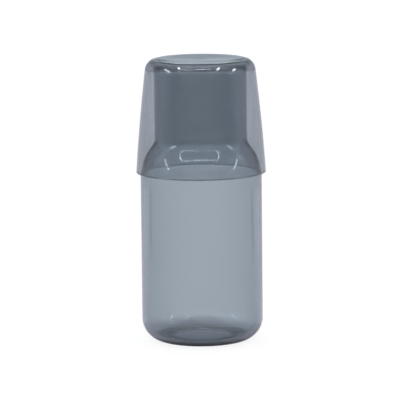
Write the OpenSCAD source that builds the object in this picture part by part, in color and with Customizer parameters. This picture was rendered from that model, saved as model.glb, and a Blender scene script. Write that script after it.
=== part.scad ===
// Bedside carafe with its drinking tumbler.
// Two blown pieces of smoke-grey glass: a straight-sided carafe with a cylindrical neck, and a
// tapered tumbler that is turned over the neck as a lid. The tumbler hangs from the carafe's
// lip, which bears in the rounded corner inside the tumbler's base, and the tumbler's rim ends
// just outside the carafe's shoulder. All lengths are millimetres; the carafe stands on z = 0.

/* [Carafe] */
// Outer diameter of the straight body
body_d = 90; // [84:0.5:110]
// Height of the carafe, from its foot to its lip
carafe_h = 207.5; // [180:0.5:240]
// Glass thickness of the body, the shoulder and the neck
carafe_wall = 2.1; // [1.6:0.1:3.2]
// Outer diameter of the straight neck
neck_d = 68.8; // [58:0.2:80]
// Height at which the body starts to turn in
shoulder_z = 122.5; // [100:0.5:140]
// Radius of the outward curve at the top of the body
shoulder_r = 35.6; // [24:0.2:44]
// Radius of the inward curve at the foot of the neck
neck_blend_r = 14; // [8:0.2:20]

/* [Carafe base] */
// Radius of the rounded heel between the wall and the foot
heel_r = 16.7; // [10:0.1:19]
// Radius of the inside corner above the heel
heel_inside_r = 14; // [11:0.1:18]
// Glass thickness of the floor
floor_t = 2.9; // [2.2:0.1:6]
// Width of the flat ring that the carafe stands on
foot_w = 3.5; // [1.5:0.1:6]
// Height of the push-up in the middle of the base
push_up_h = 6; // [1:0.1:9]
// Radius that rounds the foot ring into the push-up
foot_blend_r = 3; // [1:0.1:8]
// Radius that runs the raised middle of the floor out to the inside corner
floor_blend_r = 6; // [4:0.5:20]
// Radius of the tip-off mark under the base
mark_r = 4.5; // [2:0.1:7]
// Depth of the tip-off mark under the base
mark_depth = 0.6; // [0.2:0.1:1]

/* [Tumbler] */
// Height of the tumbler, from its rim to its base
tumbler_h = 85.3; // [76:0.1:96]
// Glass thickness of the tumbler's wall
tumbler_wall = 2.3; // [1.4:0.1:2.8]
// Glass thickness of the tumbler's base
base_t = 3; // [2.2:0.1:6]
// Radius of the outside corner between the wall and the base
corner_r = 9.6; // [6:0.1:12]
// Radius of the inside corner, which bears on the carafe's lip
seat_r = 7.3; // [5.6:0.1:14]
// How far the tapered wall swells out of a straight line
wall_bow = 0.5; // [0.2:0.1:1.5]
// Width of the flat ring that the tumbler stands on
stand_w = 4; // [2:0.1:7]
// Depth of the shallow dish inside that ring
dish_h = 1; // [0.5:0.1:2]
// Radius that rounds the standing ring into the dish
dish_blend_r = 4; // [1:0.5:8]
// Radius of the tip-off mark in the dish
dish_mark_r = 2; // [1:0.1:4]
// Depth of the tip-off mark in the dish
dish_mark_depth = 0.3; // [0.1:0.1:0.6]

/* [Fit] */
// Clearance between the carafe's lip and the corner that it bears in
seat_gap = 0.2; // [0.1:0.05:0.4]
// Radial room between the neck and the tumbler's wall at its base
neck_gap = 4.4; // [3:0.1:7]
// Radial play between the body and the tumbler's rim
rim_play = 0.8; // [0.5:0.1:2.5]

/* [Hidden] */
// Facets of a full turn
$fn = 240;
// How far the middle of a chord may lie off its arc
chord_tol = 0.01;

// Carafe radii and levels
body_r = body_d / 2;
neck_r = neck_d / 2;
lip_r = carafe_wall / 2;
lip_x = neck_r - lip_r;
lip_z = carafe_h - lip_r;
foot_ring_r = body_r - heel_r - foot_w;
floor_edge_r = body_r - carafe_wall - heel_inside_r;

// The shoulder's outward and inward curves meet on the line between their middles
shoulder_span = shoulder_r + neck_blend_r;
shoulder_side = shoulder_span - (body_r - neck_r);
shoulder_rise = sqrt(shoulder_span * shoulder_span - shoulder_side * shoulder_side);
shoulder_turn = atan2(shoulder_rise, shoulder_side);
neck_z = shoulder_z + shoulder_rise;

// Tumbler, measured up from its own rim, base uppermost
rim_edge_r = tumbler_wall / 2;
rim_r = body_r + rim_play + tumbler_wall;
crown_r = neck_r + neck_gap + tumbler_wall;
crown_z = tumbler_h - corner_r;
ceiling_z = tumbler_h - base_t;

// The wall's bow is one arc over the chord from the rim to the crown
chord_x = crown_r - rim_r;
chord_z = crown_z - rim_edge_r;
chord = sqrt(chord_x * chord_x + chord_z * chord_z);
bow_r = chord * chord / (8 * wall_bow) + wall_bow / 2;
bow_x = (rim_r + crown_r) / 2 - (bow_r - wall_bow) * chord_z / chord;
bow_z = (rim_edge_r + crown_z) / 2 + (bow_r - wall_bow) * chord_x / chord;
bow_inside_r = bow_r - tumbler_wall;
bow_middle_r = bow_r - rim_edge_r;
rim_turn = asin((rim_edge_r - bow_z) / bow_middle_r);
rim_edge_x = bow_x + bow_middle_r * cos(rim_turn);

// Angle on the bow at which a corner of radius r leaves it for a base whose face is at top_z
function corner_turn(arc_r, r, top_z) = asin((top_z - r - bow_z) / (arc_r - r));
// Distance of that corner's middle from the axis
function corner_x(arc_r, r, top_z) = bow_x + (arc_r - r) * cos(corner_turn(arc_r, r, top_z));

stand_x = corner_x(bow_r, corner_r, tumbler_h);
dish_ring_r = stand_x - stand_w;
seat_x = corner_x(bow_inside_r, seat_r, ceiling_z);
seat_z = ceiling_z - seat_r;

// The round lip bears in the tumbler's inside corner, and the two arcs set how high it hangs
seat_reach = seat_r - lip_r - seat_gap;
seat_side = max(lip_x - seat_x, 0);
seat_rise = sqrt(seat_reach * seat_reach - seat_side * seat_side);
tumbler_z = lip_z - seat_rise - seat_z;

// Points of an arc round [x, z] from one angle to another, with both its ends
function arc(x, z, r, from, to) =
    let (steps = ceil(abs(to - from) / (2 * acos(1 - chord_tol / r))))
    [for (i = [0:steps]) let (turn = from + (to - from) * i / steps)
        [x + r * cos(turn), z + r * sin(turn)]];

// Radius of the ball in a low dome that a blend runs out level at ring_r
function ball_r(ring_r, rise, blend_r) = (ring_r * ring_r + rise * rise) / (2 * rise) - blend_r;

// Outline of that dome, from from_r on the ball at the top out to ring_r at height zero
function dome(ring_r, rise, blend_r, from_r) =
    let (r = ball_r(ring_r, rise, blend_r))
    let (blend_turn = atan2(blend_r + r - rise, ring_r))
    concat(
        arc(0, rise - r, r, acos(from_r / r), blend_turn),
        arc(ring_r, blend_r, blend_r, blend_turn + 180, 270)
    );

// Outline of a round dimple in a ball's top at height rise, from its middle out to its edge
function dimple(r, depth, ball, rise) =
    let (edge_z = rise - ball + sqrt(ball * ball - r * r))
    let (sag = rise + depth - edge_z)
    let (hollow_r = (r * r + sag * sag) / (2 * sag))
    arc(0, edge_z + sag - hollow_r, hollow_r, 90, acos(r / hollow_r));

// One side of the carafe's glass, up from its base; inset is how far it lies within the outside
function bottle_side(base_z, corner, inset) =
    let (low_r = body_r - inset, high_r = neck_r - inset)
    let (out_r = shoulder_r - inset, in_r = neck_blend_r + inset)
    concat(
        arc(low_r - corner, base_z + corner, corner, -90, 0),
        arc(low_r - out_r, shoulder_z, out_r, 0, shoulder_turn),
        arc(high_r + in_r, neck_z, in_r, shoulder_turn + 180, 180)
    );

// One side of the tumbler's glass, down from its base
function tumbler_side(top_z, corner, arc_r) =
    let (turn = corner_turn(arc_r, corner, top_z))
    concat(
        arc(corner_x(arc_r, corner, top_z), top_z - corner, corner, 90, turn),
        arc(bow_x, bow_z, arc_r, turn, rim_turn)
    );

// An outline in reverse order
function back(points) = [for (i = [len(points) - 1:-1:0]) points[i]];
// An outline lifted by rise
function raised(points, rise) = [for (p = points) [p[0], p[1] + rise]];
// An outline turned over, with its zero height at top_z
function hung(points, top_z) = [for (p = points) [p[0], top_z - p[1]]];
// An outline without the points that repeat the one before, where one arc runs into the next
function joined(points) =
    [for (i = [0:len(points) - 1]) if (i == 0 || norm(points[i] - points[max(i - 1, 0)]) > chord_tol)
        points[i]];

module carafe() {
    push_up = ball_r(foot_ring_r, push_up_h, foot_blend_r);
    color([0.45, 0.50, 0.55, 0.45])
    rotate_extrude()
    polygon(joined(concat(
        dimple(mark_r, mark_depth, push_up, push_up_h),
        dome(foot_ring_r, push_up_h, foot_blend_r, mark_r),
        bottle_side(0, heel_r, 0),
        arc(lip_x, lip_z, lip_r, 0, 180),
        back(bottle_side(floor_t, heel_inside_r, carafe_wall)),
        back(raised(dome(floor_edge_r, push_up_h, floor_blend_r, 0), floor_t))
    )));
}

module tumbler() {
    dish = ball_r(dish_ring_r, dish_h, dish_blend_r);
    color([0.50, 0.55, 0.60, 0.40])
    translate([0, 0, tumbler_z])
    rotate_extrude()
    polygon(joined(concat(
        hung(dimple(dish_mark_r, dish_mark_depth, dish, dish_h), tumbler_h),
        hung(dome(dish_ring_r, dish_h, dish_blend_r, dish_mark_r), tumbler_h),
        tumbler_side(tumbler_h, corner_r, bow_r),
        arc(rim_edge_x, rim_edge_r, rim_edge_r, rim_turn, rim_turn - 180),
        back(tumbler_side(ceiling_z, seat_r, bow_inside_r)),
        back(hung(dome(seat_x, dish_h, dish_blend_r, 0), ceiling_z))
    )));
}

carafe();
tumbler();
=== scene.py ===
import math

import bpy
from mathutils import Matrix, Vector


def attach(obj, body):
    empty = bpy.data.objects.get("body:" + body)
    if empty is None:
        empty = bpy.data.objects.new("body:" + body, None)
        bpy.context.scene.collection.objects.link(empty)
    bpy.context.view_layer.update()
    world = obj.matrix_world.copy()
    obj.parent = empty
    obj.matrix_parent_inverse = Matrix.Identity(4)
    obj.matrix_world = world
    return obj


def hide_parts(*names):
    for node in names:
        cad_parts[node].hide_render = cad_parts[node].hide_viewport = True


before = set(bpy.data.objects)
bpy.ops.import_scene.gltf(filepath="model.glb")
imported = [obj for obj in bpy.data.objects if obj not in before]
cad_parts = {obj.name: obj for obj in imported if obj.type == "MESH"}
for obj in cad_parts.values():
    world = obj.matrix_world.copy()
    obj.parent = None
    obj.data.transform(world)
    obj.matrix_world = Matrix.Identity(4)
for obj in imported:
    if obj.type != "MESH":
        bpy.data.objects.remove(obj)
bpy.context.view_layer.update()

# A carafe of smoke-grey glass, with a tumbler of the same glass turned over its neck as a lid.
# Lengths are in metres.
MM = 0.001

# Carafe
BODY_R = 45 * MM
NECK_R = 34.4 * MM
CARAFE_H = 207.5 * MM
CARAFE_WALL = 2.1 * MM
SHOULDER_Z = 122.5 * MM
SHOULDER_R = 35.6 * MM
NECK_BLEND_R = 14 * MM
HEEL_R = 16.7 * MM
HEEL_INSIDE_R = 14 * MM
FLOOR_T = 2.9 * MM
FOOT_W = 3.5 * MM
PUSH_UP_H = 6 * MM
FOOT_BLEND_R = 3 * MM
FLOOR_BLEND_R = 6 * MM
MARK_R = 4.5 * MM
MARK_DEPTH = 0.6 * MM

# Tumbler; CROWN_SLOPE is the angle in degrees of the slope worked flat round its base
TUMBLER_H = 85.3 * MM
TUMBLER_WALL = 2.3 * MM
BASE_T = 3 * MM
CORNER_R = 9.6 * MM
SEAT_R = 7.3 * MM
WALL_BOW = 0.5 * MM
CROWN_SLOPE = 13
CROWN_SAG = 0.25 * MM
CROWN_TOP_R = 4 * MM
CROWN_EDGE_R = 2.5 * MM
STAND_W = 4 * MM
DISH_H = 1 * MM
DISH_BLEND_R = 4 * MM
DISH_MARK_R = 2 * MM
DISH_MARK_DEPTH = 0.3 * MM

# Fit between the two
SEAT_GAP = 0.2 * MM
NECK_GAP = 4.4 * MM
RIM_PLAY = 0.8 * MM

# How much light the smoke in the glass takes per metre, red, green and blue
CARAFE_TAKES = (269, 235, 204)
TUMBLER_TAKES = (238, 214, 191)
SMOKE_DENSITY = 400
GLASS_IOR = 1.5
SHADOW_TINT = (0.62, 0.65, 0.7, 1)

# The glass surfaces: painted shade at the foot's and the rim's edges, faint smears and blown
# glass's soft waves
# Painted shade: the colours and widths of the darkened bands at the carafe's foot and the tumbler's
# rim
FOOT_EDGE_SHADE = (0.3, 0.33, 0.37, 1)
FOOT_EDGE_SHADE_W = 1.6 * MM
RIM_EDGE_SHADE = (0.06, 0.07, 0.09, 1)
RIM_EDGE_SHADE_W = 1.3 * MM
SMEAR_SCALE = 45
SMEAR_DETAIL = 4
SMEAR_DISTORTION = 0.8
SMEAR_FROM = 0.52
SMEAR_FULL = 0.8
CARAFE_HAZE = 0.02
TUMBLER_HAZE = 0.025
WAVE_SCALE = 60
WAVE_STRENGTH = 0.15
WAVE_HEIGHT = 0.05 * MM
RIPPLE_H = 0.04 * MM
RIPPLE_SCALE = 35
SOFT_DETAIL = 1
CARAFE_SEED = 3.0
TUMBLER_SEED = 8.0

# Fineness of the turned meshes
CHORD_TOL = 0.003 * MM
WELD_TOL = CHORD_TOL / 3
LINE_STEP = 4 * MM
SEGMENTS = 224

# Camera, as the photograph was taken
VIEW_TARGET = Vector((0, 0, 0.105))
VIEW_ELEVATION = math.radians(8.237)
VIEW_DISTANCE = 2.163
VIEW_ROLL = math.radians(-0.57)
VIEW_LENS = 262.1
VIEW_REACH = 50
SENSOR_W = 36
FRAME_PX = 400
TARGET_PX_RIGHT = 1.44
TARGET_PX_UP = 0.19

# Table: its paint, its glow, and how bright it is where glass mirrors it
WHITE = (1, 1, 1, 1)
TABLE_HALF = 12
TABLE_PAINT = 0.18
TABLE_GLOW = 0.82
TABLE_GLOSS = 0.65
DIRECT_GAIN = 1.04
MIRRORED_TINT = (1.0, 0.98, 1.15, 1)

# The shade that shows through the glass: behind the foot, all round it, and on its ring
FOOT_SHADE = 0.88
FOOT_SHADE_X = -0.005
FOOT_SHADE_NARROW = 2
FOOT_SHADE_NEAR = 0.02
FOOT_SHADE_FAR = 0.125
FOOT_SHADE_FRONT = 0.008
FOOT_SHADE_BACK = 0.024
ROUND_SHADE = 0.38
ROUND_SHADE_NEAR = 0.04
ROUND_SHADE_FAR = 0.075
CONTACT_SHADE = 0.95
CONTACT_R = 0.0325
CONTACT_HALF = 0.008

# A dark stripe and a brighter band of table on each side, which only reflections show, by their
# turn from the front and their distance from the axis
STRIPE_TURN = math.radians(110)
STRIPE_HALF = math.radians(8)
STRIPE_NEAR = (0.35, 0.55)
STRIPE_FAR = (0.95, 0.75)
BAND_GAIN = 0.5
BAND_START = (math.radians(112), math.radians(118))
BAND_END = (math.radians(155), math.radians(130))
BAND_NEAR = (0.2, 0.55)
BAND_NEAR_SHARE = 0.5

# The room that glass mirrors, placed by the direction that looks at it: greys of its walls by
# shares of the way from front to back, and a bright panel over the back, whose edge is set by how
# far back it lies for its height
FRONT_GREY = (0.05, 0.05, 0.05, 1)
SIDE_GREY = (0.9, 0.92, 1.1, 1)
BACK_GREY = (0.52, 0.59, 0.67, 1)
UPPER_GREY = (0.2, 0.2, 0.2, 1)
FRONT_SHARE = 0.2
SIDE_SHARES = (0.38, 0.75)
BACK_SHARE = 0.95
PANEL_TINT = (0.86, 1.0, 1.12)
PANEL_LIGHT = 0.2
PANEL_RISE = 7
PANEL_Z = (0.2, 0.4)
PANEL_X = (0.3, 0.2)
PANEL_EDGE = (0.53, 0.59)

# Beyond the table, as it shows through glass: bright overhead, and grey low behind
CEILING = (4.2, 4.2, 4.2, 1)
CEILING_Z = (0.1, 0.5)
CEILING_Y = (0.4, 0.2)
HORIZON_GREY = (0.35, 0.36, 0.38, 1)
HORIZON_Z = (0.25, 0.12)
HORIZON_Y = (0.4, 0.6)

# Strip lamps: a bow of them, by its corners in plan at one metre over the carafe's shoulder and
# the widths between these, and a slanting one on each side, by how far back and up its ends are
LAMP_RADIANCE = 42
BOW_H = 1.5
BOW_PLAN = (
    (-0.55, -0.12), (-0.61, -0.2), (-0.75, -0.45), (-0.76, -0.6), (-0.7, -0.7), (-0.48, -0.785),
    (0.42, -0.785), (0.62, -0.71), (0.64, -0.62), (0.59, -0.4), (0.5, -0.18),
)
BOW_WIDTHS = (0.055, 0.08, 0.08, 0.08, 0.08, 0.05, 0.08, 0.08, 0.08, 0.055)
SLANT_W = 0.07
SLANT_X = 1.5
SLANT_HIGH = (0.0, 1.0)
SLANT_LOW = (-0.6, 0.57)
SHOULDER_POINT = Vector((0, -0.036, 0.145))
TABLE_POINT = Vector((0, 0, 0.1))


def arc(x, z, r, start, end):
    """Points of an arc round (x, z) between two angles in degrees, with both its ends."""
    step = 2 * math.degrees(math.acos(1 - CHORD_TOL / r))
    steps = max(1, math.ceil(abs(end - start) / step))
    turns = [math.radians(start + (end - start) * i / steps) for i in range(steps + 1)]
    return [(x + r * math.cos(t), z + r * math.sin(t)) for t in turns]


def ball_radius(ring_r, rise, blend_r):
    """Radius of the ball in a low dome that a blend runs out level at ring_r."""
    return (ring_r ** 2 + rise ** 2) / (2 * rise) - blend_r


def dome(ring_r, rise, blend_r, from_r):
    """Outline of a low dome, from from_r on the ball out to ring_r at height zero."""
    r = ball_radius(ring_r, rise, blend_r)
    turn = math.degrees(math.atan2(blend_r + r - rise, ring_r))
    top = math.degrees(math.acos(from_r / r))
    return arc(0, rise - r, r, top, turn) + arc(ring_r, blend_r, blend_r, turn + 180, 270)


def dimple(r, depth, ball, rise):
    """Outline of a round dimple in a ball's top at height rise, from its middle to its edge."""
    edge_z = rise - ball + math.sqrt(ball ** 2 - r ** 2)
    sag = rise + depth - edge_z
    hollow = (r ** 2 + sag ** 2) / (2 * sag)
    return arc(0, edge_z + sag - hollow, hollow, 90, math.degrees(math.acos(r / hollow)))


def raised(points, rise):
    """An outline lifted by rise."""
    return [(x, z + rise) for x, z in points]


def hung(points, top_z):
    """An outline turned over, with its zero height at top_z."""
    return [(x, top_z - z) for x, z in points]


def bottle_side(base_z, corner, inset):
    """One side of the carafe's glass, up from its base; inset is its depth within the outside."""
    low_r, high_r = BODY_R - inset, NECK_R - inset
    out_r, in_r = SHOULDER_R - inset, NECK_BLEND_R + inset
    span = SHOULDER_R + NECK_BLEND_R
    side = span - (BODY_R - NECK_R)
    rise = math.sqrt(span ** 2 - side ** 2)
    turn = math.degrees(math.atan2(rise, side))
    return (
        arc(low_r - corner, base_z + corner, corner, -90, 0)
        + arc(low_r - out_r, SHOULDER_Z, out_r, 0, turn)
        + arc(high_r + in_r, SHOULDER_Z + rise, in_r, turn + 180, 180)
    )


def carafe_outline():
    """Half section of the carafe's glass, from the axis under its base to the axis on its floor."""
    foot_ring_r = BODY_R - HEEL_R - FOOT_W
    floor_edge_r = BODY_R - CARAFE_WALL - HEEL_INSIDE_R
    push_up = ball_radius(foot_ring_r, PUSH_UP_H, FOOT_BLEND_R)
    lip_r = CARAFE_WALL / 2
    return (
        dimple(MARK_R, MARK_DEPTH, push_up, PUSH_UP_H)
        + dome(foot_ring_r, PUSH_UP_H, FOOT_BLEND_R, MARK_R)
        + bottle_side(0, HEEL_R, 0)
        + arc(NECK_R - lip_r, CARAFE_H - lip_r, lip_r, 0, 180)
        + bottle_side(FLOOR_T, HEEL_INSIDE_R, CARAFE_WALL)[::-1]
        + raised(dome(floor_edge_r, PUSH_UP_H, FLOOR_BLEND_R, 0), FLOOR_T)[::-1]
    )


class Bow:
    """The tumbler wall's slight swell: one arc over the chord from its rim to its crown."""

    def __init__(self):
        rim_r = BODY_R + RIM_PLAY + TUMBLER_WALL
        crown_r = NECK_R + NECK_GAP + TUMBLER_WALL
        rim_z, crown_z = TUMBLER_WALL / 2, TUMBLER_H - CORNER_R
        chord_x, chord_z = crown_r - rim_r, crown_z - rim_z
        chord = math.hypot(chord_x, chord_z)
        self.r = chord ** 2 / (8 * WALL_BOW) + WALL_BOW / 2
        self.inside_r = self.r - TUMBLER_WALL
        self.x = (rim_r + crown_r) / 2 - (self.r - WALL_BOW) * chord_z / chord
        self.z = (rim_z + crown_z) / 2 + (self.r - WALL_BOW) * chord_x / chord
        middle_r = self.r - TUMBLER_WALL / 2
        self.rim_turn = math.degrees(math.asin((rim_z - self.z) / middle_r))
        self.rim_x = self.x + middle_r * math.cos(math.radians(self.rim_turn))

    def corner_turn(self, arc_r, r, top_z):
        """Angle on the bow at which a corner of radius r leaves it for a face at top_z."""
        return math.degrees(math.asin((top_z - r - self.z) / (arc_r - r)))

    def corner_x(self, arc_r, r, top_z):
        """Distance of that corner's middle from the axis."""
        return self.x + (arc_r - r) * math.cos(math.radians(self.corner_turn(arc_r, r, top_z)))

    def outside(self):
        """The tumbler's outside, down from its base, with the flat slope and its tight edge."""
        turn = self.corner_turn(self.r, CORNER_R, TUMBLER_H)
        x = self.corner_x(self.r, CORNER_R, TUMBLER_H)
        z = TUMBLER_H - CORNER_R
        slope = math.radians(CROWN_SLOPE)
        reach = CORNER_R - CROWN_SAG
        edge_reach = CORNER_R - CROWN_EDGE_R
        low = slope + math.acos((reach - CROWN_EDGE_R) / edge_reach)
        low_turn = 90 - math.degrees(low)
        top_reach = math.cos(slope) * (CROWN_TOP_R - CORNER_R) + reach - CROWN_TOP_R
        top_x = x + top_reach / math.sin(slope)
        edge_x, edge_z = x + edge_reach * math.sin(low), z + edge_reach * math.cos(low)
        return (
            arc(top_x, TUMBLER_H - CROWN_TOP_R, CROWN_TOP_R, 90, 90 - CROWN_SLOPE)
            + arc(edge_x, edge_z, CROWN_EDGE_R, 90 - CROWN_SLOPE, low_turn)
            + arc(x, z, CORNER_R, low_turn, turn)
            + arc(self.x, self.z, self.r, turn, self.rim_turn)
        )

    def inside(self, ceiling_z):
        """The tumbler's inside, down from its ceiling."""
        turn = self.corner_turn(self.inside_r, SEAT_R, ceiling_z)
        x = self.corner_x(self.inside_r, SEAT_R, ceiling_z)
        return (
            arc(x, ceiling_z - SEAT_R, SEAT_R, 90, turn)
            + arc(self.x, self.z, self.inside_r, turn, self.rim_turn)
        )


def tumbler_outline():
    """Half section of the hung tumbler's glass, from the axis inside to the axis on its base."""
    bow = Bow()
    ceiling_z = TUMBLER_H - BASE_T
    dish_ring_r = bow.corner_x(bow.r, CORNER_R, TUMBLER_H) - STAND_W
    seat_x = bow.corner_x(bow.inside_r, SEAT_R, ceiling_z)
    dish = ball_radius(dish_ring_r, DISH_H, DISH_BLEND_R)
    edge_r = TUMBLER_WALL / 2
    lip_r = CARAFE_WALL / 2
    seat_side = max(NECK_R - lip_r - seat_x, 0)
    seat_rise = math.sqrt((SEAT_R - lip_r - SEAT_GAP) ** 2 - seat_side ** 2)
    hang_z = CARAFE_H - lip_r - seat_rise - (ceiling_z - SEAT_R)
    outline = (
        hung(dimple(DISH_MARK_R, DISH_MARK_DEPTH, dish, DISH_H), TUMBLER_H)
        + hung(dome(dish_ring_r, DISH_H, DISH_BLEND_R, DISH_MARK_R), TUMBLER_H)
        + bow.outside()
        + arc(bow.rim_x, edge_r, edge_r, bow.rim_turn, bow.rim_turn - 180)
        + bow.inside(ceiling_z)[::-1]
        + hung(dome(seat_x, DISH_H, DISH_BLEND_R, 0), ceiling_z)[::-1]
    )
    return raised(outline, hang_z)[::-1]


def outline_object(name, points):
    """An outline as a chain of edges in the XZ plane, long straight stretches divided."""
    chain = [points[0]]
    for point in points[1:]:
        last = chain[-1]
        length = math.dist(last, point)
        if length < CHORD_TOL:
            continue
        pieces = max(1, math.ceil(length / LINE_STEP))
        for i in range(1, pieces + 1):
            share = i / pieces
            chain.append(tuple(a + (b - a) * share for a, b in zip(last, point)))
    mesh = bpy.data.meshes.new(name)
    edges = [(i, i + 1) for i in range(len(chain) - 1)]
    mesh.from_pydata([(x, 0, z) for x, z in chain], edges, [])
    obj = bpy.data.objects.new(name, mesh)
    bpy.context.scene.collection.objects.link(obj)
    return obj


def add_socket(tree, name, kind, in_out="INPUT", value=None):
    """A named socket on a node tree's outside, with its default value."""
    socket = tree.interface.new_socket(name=name, in_out=in_out, socket_type=kind)
    if value is not None:
        socket.default_value = value


class Nodes:
    """Short calls that add and join the nodes of one tree."""

    def __init__(self, tree):
        self.tree = tree

    def add(self, kind, settings=None, **inputs):
        """A node with its settings, and its inputs by their names."""
        node = self.tree.nodes.new(kind)
        for name, value in (settings or {}).items():
            setattr(node, name, value)
        for name, value in inputs.items():
            self.feed(node.inputs[name.replace("_", " ")], value)
        return node

    def feed(self, socket, value):
        """Links another node's output to a socket, or sets its value."""
        if isinstance(value, bpy.types.NodeSocket):
            self.tree.links.new(value, socket)
        else:
            socket.default_value = value

    def math(self, operation, a, b=0.0):
        """The result of one operation on two values, or on one."""
        node = self.add("ShaderNodeMath", {"operation": operation})
        self.feed(node.inputs[0], a)
        self.feed(node.inputs[1], b)
        return node.outputs[0]

    def product(self, first, *others):
        """Values multiplied together."""
        for other in others:
            first = self.math("MULTIPLY", first, other)
        return first

    def rest(self, value):
        """What is left of 1 beside a value."""
        return self.math("SUBTRACT", 1.0, value)

    def distance(self, x, y):
        """Distance of a place from the origin in plan."""
        squares = self.math("ADD", self.math("POWER", x, 2.0), self.math("POWER", y, 2.0))
        return self.math("SQRT", squares)

    def peak(self, value, middle, half):
        """1 where a value is at middle, down to 0 where it is half away on either side."""
        off = self.math("DIVIDE", self.math("ABSOLUTE", self.math("SUBTRACT", value, middle)), half)
        return self.rest(self.math("MINIMUM", off, 1.0))

    def ramp(self, value, ends, low=0.0, high=1.0, kind="LINEAR"):
        """From low at the first end to high at the second, and level past both."""
        return self.add(
            "ShaderNodeMapRange",
            {"interpolation_type": kind},
            Value=value,
            From_Min=ends[0],
            From_Max=ends[1],
            To_Min=low,
            To_Max=high,
        ).outputs[0]

    def smooth_ramp(self, value, ends, low=0.0, high=1.0):
        """A ramp that eases in and out."""
        return self.ramp(value, ends, low, high, "SMOOTHSTEP")

    def mix(self, share, first, second):
        """From the first colour to the second as share goes from 0 to 1."""
        return self.add("ShaderNodeMixRGB", Fac=share, Color1=first, Color2=second).outputs[0]

    def noise(self, place, seed, scale, detail, distortion=0.0):
        """Soft clouds, another pattern for each seed."""
        return self.add(
            "ShaderNodeTexNoise",
            {"noise_dimensions": "4D"},
            Vector=place,
            W=seed,
            Scale=scale,
            Detail=detail,
            Distortion=distortion,
        ).outputs[0]

    def parts(self, vector):
        """A vector's X, Y and Z."""
        return self.add("ShaderNodeSeparateXYZ", Vector=vector).outputs

    def rays(self):
        """One each where a camera ray, a transmission ray and a glossy ray look."""
        path = self.add("ShaderNodeLightPath").outputs
        return path["Is Camera Ray"], path["Is Transmission Ray"], path["Is Glossy Ray"]


def lathe_tree():
    """Turns an outline round the Z axis into a closed, slightly uneven blown shell."""
    tree = bpy.data.node_groups.new("glass_lathe", "GeometryNodeTree")
    add_socket(tree, "Outline", "NodeSocketGeometry")
    add_socket(tree, "Segments", "NodeSocketInt", value=SEGMENTS)
    add_socket(tree, "Weld distance", "NodeSocketFloat", value=WELD_TOL)
    add_socket(tree, "Ripple height", "NodeSocketFloat", value=0.0)
    add_socket(tree, "Ripple scale", "NodeSocketFloat", value=1.0)
    add_socket(tree, "Ripple seed", "NodeSocketFloat", value=0.0)
    add_socket(tree, "Glass", "NodeSocketMaterial")
    add_socket(tree, "Shell", "NodeSocketGeometry", "OUTPUT")
    n = Nodes(tree)
    given = n.add("NodeGroupInput").outputs
    size = n.add("GeometryNodeAttributeDomainSize", Geometry=given["Outline"])
    rows = size.outputs["Point Count"]
    columns = n.math("ADD", given["Segments"], 1.0)
    grid = n.add("GeometryNodeMeshGrid", Vertices_X=columns, Vertices_Y=rows)
    index = n.add("GeometryNodeInputIndex").outputs[0]
    row = n.math("FLOORED_MODULO", index, rows)
    column = n.math("FLOOR", n.math("DIVIDE", n.math("SUBTRACT", index, row), rows))
    turn = n.math("DIVIDE", n.math("MULTIPLY", column, math.tau), given["Segments"])
    point = n.add("GeometryNodeSampleIndex", {"data_type": "FLOAT_VECTOR", "domain": "POINT"})
    n.feed(point.inputs["Geometry"], given["Outline"])
    n.feed(point.inputs["Value"], n.add("GeometryNodeInputPosition").outputs[0])
    n.feed(point.inputs["Index"], row)
    place = n.parts(point.outputs[0])
    turned = n.add(
        "ShaderNodeCombineXYZ",
        X=n.math("MULTIPLY", place["X"], n.math("COSINE", turn)),
        Y=n.math("MULTIPLY", place["X"], n.math("SINE", turn)),
        Z=place["Z"],
    ).outputs[0]
    shell = n.add("GeometryNodeSetPosition", Geometry=grid.outputs["Mesh"], Position=turned)
    welded = n.add(
        "GeometryNodeMergeByDistance",
        Geometry=shell.outputs[0],
        Distance=given["Weld distance"],
    )
    position = n.add("GeometryNodeInputPosition").outputs[0]
    ripple = n.noise(position, given["Ripple seed"], given["Ripple scale"], SOFT_DETAIL)
    lift = n.math("MULTIPLY", n.math("SUBTRACT", ripple, 1.0), given["Ripple height"])
    push = n.add("ShaderNodeVectorMath", {"operation": "SCALE"})
    n.feed(push.inputs[0], n.add("GeometryNodeInputNormal").outputs[0])
    n.feed(push.inputs["Scale"], lift)
    uneven = n.add("GeometryNodeSetPosition", Geometry=welded.outputs[0], Offset=push.outputs[0])
    smooth = n.add("GeometryNodeSetShadeSmooth", Geometry=uneven.outputs[0])
    whole = n.add("GeometryNodeRealizeInstances", Geometry=smooth.outputs[0])
    glazed = n.add("GeometryNodeSetMaterial", Geometry=whole.outputs[0], Material=given["Glass"])
    n.feed(n.add("NodeGroupOutput").inputs[0], glazed.outputs[0])
    return tree


def turned_piece(name, points, tree, glass, seed):
    """A plain mesh that the lathe tree makes of an outline, as a finished piece."""
    source = outline_object(name + "_outline", points)
    modifier = source.modifiers.new("lathe", "NODES")
    modifier.node_group = tree
    sockets = {s.name: s.identifier for s in tree.interface.items_tree if s.in_out == "INPUT"}
    modifier[sockets["Glass"]] = glass
    modifier[sockets["Ripple height"]] = RIPPLE_H
    modifier[sockets["Ripple scale"]] = RIPPLE_SCALE
    modifier[sockets["Ripple seed"]] = seed
    graph = bpy.context.evaluated_depsgraph_get()
    mesh = bpy.data.meshes.new_from_object(source.evaluated_get(graph))
    bpy.data.objects.remove(source)
    mesh.name = name
    piece = bpy.data.objects.new(name, mesh)
    bpy.context.scene.collection.objects.link(piece)
    return piece


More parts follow.
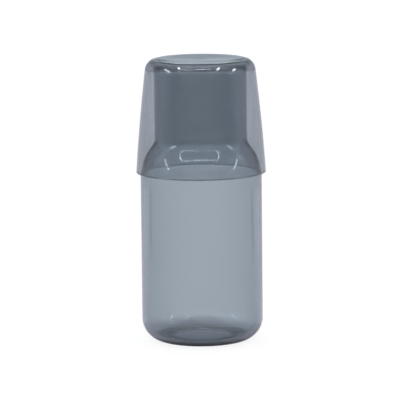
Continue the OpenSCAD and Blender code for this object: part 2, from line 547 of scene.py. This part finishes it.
def blown_surface_and_edge_shade():
    """Painted shade in a band at one height, and where blown glass is hazier and uneven: smears,
    waves.
    """
    tree = bpy.data.node_groups.new("blown_surface_and_edge_shade", "ShaderNodeTree")
    add_socket(tree, "Place", "NodeSocketVector")
    add_socket(tree, "Edge height", "NodeSocketFloat", value=0.0)
    add_socket(tree, "Edge width", "NodeSocketFloat", value=MM)
    add_socket(tree, "Edge colour", "NodeSocketColor", value=WHITE)
    add_socket(tree, "Smear scale", "NodeSocketFloat", value=1.0)
    add_socket(tree, "Smear haze", "NodeSocketFloat", value=0.0)
    add_socket(tree, "Wave scale", "NodeSocketFloat", value=1.0)
    add_socket(tree, "Seed", "NodeSocketFloat", value=0.0)
    add_socket(tree, "Tint", "NodeSocketColor", "OUTPUT")
    add_socket(tree, "Haze", "NodeSocketFloat", "OUTPUT")
    add_socket(tree, "Waves", "NodeSocketFloat", "OUTPUT")
    n = Nodes(tree)
    given = n.add("NodeGroupInput").outputs
    place, seed = given["Place"], given["Seed"]
    # Painted shade: 1 in the band at the edge's height, where the glass's colour is darkened
    edge_shade = n.peak(n.parts(place)["Z"], given["Edge height"], given["Edge width"])
    smears = n.noise(place, seed, given["Smear scale"], SMEAR_DETAIL, SMEAR_DISTORTION)
    wiped = n.ramp(smears, (SMEAR_FROM, SMEAR_FULL))
    out = n.add("NodeGroupOutput")
    n.feed(out.inputs["Tint"], n.mix(edge_shade, WHITE, given["Edge colour"]))
    n.feed(out.inputs["Haze"], n.product(wiped, given["Smear haze"]))
    n.feed(out.inputs["Waves"], n.noise(place, seed, given["Wave scale"], SOFT_DETAIL))
    return tree


def smoke_glass(name, takes, surface, **touches):
    """Clear glass, tinted in its depth; shadow rays pass through it as tinted light."""
    material = bpy.data.materials.new(name)
    material.use_nodes = True
    tree = material.node_tree
    tree.nodes.clear()
    n = Nodes(tree)
    place = n.add("ShaderNodeTexCoord").outputs["Object"]
    touch = n.add("ShaderNodeGroup", {"node_tree": surface}, Place=place, **touches).outputs
    waves = n.add(
        "ShaderNodeBump",
        Strength=WAVE_STRENGTH,
        Distance=WAVE_HEIGHT,
        Height=touch["Waves"],
    )
    # The base colour carries the painted shade of the rim or foot edge
    glass = n.add(
        "ShaderNodeBsdfPrincipled",
        Base_Color=touch["Tint"],
        Roughness=touch["Haze"],
        IOR=GLASS_IOR,
        Transmission_Weight=1.0,
        Normal=waves.outputs[0],
    )
    veil = n.add("ShaderNodeBsdfTransparent", Color=SHADOW_TINT)
    either = n.add("ShaderNodeMixShader")
    n.feed(either.inputs[0], n.add("ShaderNodeLightPath").outputs["Is Shadow Ray"])
    n.feed(either.inputs[1], glass.outputs[0])
    n.feed(either.inputs[2], veil.outputs[0])
    colour = tuple(1 - t / SMOKE_DENSITY for t in takes) + (1,)
    depth = n.add("ShaderNodeVolumeAbsorption", Color=colour, Density=SMOKE_DENSITY)
    n.add("ShaderNodeOutputMaterial", Surface=either.outputs[0], Volume=depth.outputs[0])
    return material


def foot_shade(n, place, away):
    """The shade that shows through the glass, long behind the foot and fainter all round it."""
    aside = n.product(n.math("SUBTRACT", place["X"], FOOT_SHADE_X), FOOT_SHADE_NARROW)
    off = n.distance(aside, place["Y"])
    near = n.smooth_ramp(off, (FOOT_SHADE_FAR, FOOT_SHADE_NEAR), high=FOOT_SHADE)
    behind = n.smooth_ramp(place["Y"], (FOOT_SHADE_FRONT, FOOT_SHADE_BACK))
    around = n.smooth_ramp(away, (ROUND_SHADE_FAR, ROUND_SHADE_NEAR), high=ROUND_SHADE)
    return n.math("MAXIMUM", n.product(near, behind), around)


def mirrored_table(n, place, away):
    """How bright a reflection finds the table: the dark stripe and the brighter band beside it."""
    turn = n.math("ARCTAN2", n.math("ABSOLUTE", place["X"]), n.product(place["Y"], -1.0))
    far = n.smooth_ramp(away, STRIPE_FAR)
    reach = n.product(n.smooth_ramp(away, STRIPE_NEAR), far)
    stripe = n.product(n.peak(turn, STRIPE_TURN, STRIPE_HALF), reach)
    across = n.product(n.smooth_ramp(turn, BAND_START), n.smooth_ramp(turn, BAND_END))
    along = n.product(n.smooth_ramp(away, BAND_NEAR, low=BAND_NEAR_SHARE), far)
    band = n.product(across, BAND_GAIN, along)
    return n.product(n.rest(stripe), TABLE_GLOSS, n.math("ADD", band, 1.0))


def table_material():
    """White paint that glows as brightly as each kind of ray finds the real table."""
    material = bpy.data.materials.new("white_floor")
    material.use_nodes = True
    material.node_tree.nodes.clear()
    n = Nodes(material.node_tree)
    place = n.parts(n.add("ShaderNodeTexCoord").outputs["Object"])
    away = n.distance(place["X"], place["Y"])
    contact = n.product(n.peak(away, CONTACT_R, CONTACT_HALF), CONTACT_SHADE)
    shade = n.math("MAXIMUM", contact, foot_shade(n, place, away))
    direct, through, glossy = n.rays()
    lit = n.product(direct, DIRECT_GAIN)
    shaded = n.product(through, n.rest(shade))
    mirrored = n.product(glossy, mirrored_table(n, place, away), n.rest(contact), n.rest(through))
    seen = n.math("MAXIMUM", lit, n.math("MAXIMUM", shaded, mirrored))
    only_mirrored = n.product(glossy, n.rest(n.math("MAXIMUM", direct, through)))
    glow = n.add("ShaderNodeEmission", Color=n.mix(only_mirrored, WHITE, MIRRORED_TINT))
    n.feed(glow.inputs["Strength"], n.product(seen, TABLE_GLOW))
    paint = n.add("ShaderNodeBsdfDiffuse", Color=(TABLE_PAINT, TABLE_PAINT, TABLE_PAINT, 1))
    both = n.add("ShaderNodeAddShader")
    n.feed(both.inputs[0], paint.outputs[0])
    n.feed(both.inputs[1], glow.outputs[0])
    n.add("ShaderNodeOutputMaterial", Surface=both.outputs[0])
    return material


def white_floor():
    """The table's top, level with the carafe's foot."""
    mesh = bpy.data.meshes.new("floor")
    half = TABLE_HALF
    corners = [(-half, -half, 0), (half, -half, 0), (half, half, 0), (-half, half, 0)]
    mesh.from_pydata(corners, [], [(0, 1, 2, 3)])
    mesh.materials.append(table_material())
    floor = bpy.data.objects.new("floor", mesh)
    bpy.context.scene.collection.objects.link(floor)


def mirrored_room(n, way):
    """The room that glass mirrors: its walls, darker above, and the panel over the back."""
    walls = n.add("ShaderNodeValToRGB", Fac=n.ramp(way["Y"], (-1.0, 1.0)))
    shares = walls.color_ramp.elements
    shares[0].position, shares[0].color = FRONT_SHARE, FRONT_GREY
    shares[1].position, shares[1].color = BACK_SHARE, BACK_GREY
    for share in SIDE_SHARES:
        shares.new(share).color = SIDE_GREY
    upper = n.ramp(way["Z"], PANEL_Z)
    room = n.mix(upper, walls.outputs[0], UPPER_GREY)
    behind = n.math("DIVIDE", way["Y"], n.math("MAXIMUM", way["Z"], PANEL_Z[0]))
    middle = n.ramp(n.math("ABSOLUTE", way["X"]), PANEL_X)
    panel = n.product(upper, n.ramp(behind, PANEL_EDGE), middle)
    rising = n.math("ADD", n.product(n.math("POWER", way["Z"], 2.0), PANEL_RISE), PANEL_LIGHT)
    light = n.add("ShaderNodeVectorMath", {"operation": "SCALE"})
    n.feed(light.inputs[0], PANEL_TINT)
    n.feed(light.inputs["Scale"], rising)
    return n.mix(panel, room, light.outputs[0])


def room_beyond(n, way):
    """What shows through the glass past the table: white, with the ceiling and the horizon."""
    overhead = n.product(n.ramp(way["Z"], CEILING_Z), n.ramp(way["Y"], CEILING_Y))
    horizon = n.product(n.ramp(way["Z"], HORIZON_Z), n.ramp(way["Y"], HORIZON_Y))
    return n.mix(horizon, n.mix(overhead, WHITE, CEILING), HORIZON_GREY)


def studio_world():
    """White where it is looked at, and a room where glass mirrors it or shows it."""
    world = bpy.data.worlds.new("studio")
    bpy.context.scene.world = world
    world.use_nodes = True
    world.node_tree.nodes.clear()
    n = Nodes(world.node_tree)
    way = n.parts(n.add("ShaderNodeTexCoord").outputs["Generated"])
    direct, through, glossy = n.rays()
    seen = n.mix(glossy, WHITE, mirrored_room(n, way))
    seen = n.mix(through, seen, room_beyond(n, way))
    sky = n.add("ShaderNodeBackground", Color=n.mix(direct, seen, WHITE))
    n.add("ShaderNodeOutputWorld", Surface=sky.outputs[0])


def strip_lamp(name, start, end, width):
    """A thin strip lamp between two places over the shoulder, which shines towards the table."""
    start, end = Vector(start) + SHOULDER_POINT, Vector(end) + SHOULDER_POINT
    middle = (start + end) / 2
    data = bpy.data.lights.new(name, "AREA")
    data.shape = "RECTANGLE"
    data.size = (end - start).length
    data.size_y = width
    data.energy = LAMP_RADIANCE * math.pi * data.size * data.size_y
    lamp = bpy.data.objects.new(name, data)
    bpy.context.scene.collection.objects.link(lamp)
    lamp.visible_diffuse = False
    along = (end - start).normalized()
    across = (middle - TABLE_POINT).normalized().cross(along).normalized()
    turn = Matrix((along, across, along.cross(across))).transposed().to_4x4()
    lamp.matrix_world = Matrix.Translation(middle) @ turn


def studio_lamps():
    """Strips that hang in a bow over the front of the table, and a slanting one on each side."""
    corners = [(x * BOW_H, y * BOW_H, BOW_H) for x, y in BOW_PLAN]
    for i, width in enumerate(BOW_WIDTHS):
        strip_lamp("overhead_%d" % i, corners[i], corners[i + 1], width)
    for x, name in ((-SLANT_X, "side_left"), (SLANT_X, "side_right")):
        strip_lamp(name, (x, *SLANT_HIGH), (x, *SLANT_LOW), SLANT_W)


def photo_camera():
    """The camera where the photograph was taken from, with its slight roll."""
    data = bpy.data.cameras.new("camera")
    camera = bpy.data.objects.new("camera", data)
    bpy.context.scene.collection.objects.link(camera)
    back = Vector((0, -math.cos(VIEW_ELEVATION), math.sin(VIEW_ELEVATION)))
    aim = (-back).to_track_quat("-Z", "Y").to_matrix().to_4x4()
    place = Matrix.Translation(VIEW_TARGET + back * VIEW_DISTANCE)
    camera.matrix_world = place @ aim @ Matrix.Rotation(VIEW_ROLL, 4, "Z")
    data.sensor_width = SENSOR_W
    data.lens = VIEW_LENS
    data.shift_x = -TARGET_PX_RIGHT / FRAME_PX
    data.shift_y = -TARGET_PX_UP / FRAME_PX
    data.clip_end = VIEW_REACH
    bpy.context.scene.camera = camera


photo_camera()
studio_world()
studio_lamps()
white_floor()

lathe = lathe_tree()
surface = blown_surface_and_edge_shade()

# The carafe's glass is darkened at its foot edge as painted shade
carafe_glass = smoke_glass(
    "carafe_smoke_glass",
    CARAFE_TAKES,
    surface,
    Edge_height=0.0,
    Edge_width=FOOT_EDGE_SHADE_W,
    Edge_colour=FOOT_EDGE_SHADE,
    Smear_scale=SMEAR_SCALE,
    Smear_haze=CARAFE_HAZE,
    Wave_scale=WAVE_SCALE,
    Seed=CARAFE_SEED,
)
carafe = turned_piece("carafe_glass", carafe_outline(), lathe, carafe_glass, CARAFE_SEED)
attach(carafe, "carafe")
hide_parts("carafe")

tumbler_section = tumbler_outline()
# The tumbler's glass is darkened at its rim as painted shade
tumbler_glass = smoke_glass(
    "tumbler_smoke_glass",
    TUMBLER_TAKES,
    surface,
    Edge_height=min(z for x, z in tumbler_section),
    Edge_width=RIM_EDGE_SHADE_W,
    Edge_colour=RIM_EDGE_SHADE,
    Smear_scale=SMEAR_SCALE,
    Smear_haze=TUMBLER_HAZE,
    Wave_scale=WAVE_SCALE,
    Seed=TUMBLER_SEED,
)
tumbler = turned_piece("tumbler_glass", tumbler_section, lathe, tumbler_glass, TUMBLER_SEED)
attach(tumbler, "tumbler")
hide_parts("tumbler")

bpy.context.scene.view_settings.view_transform = "Standard"
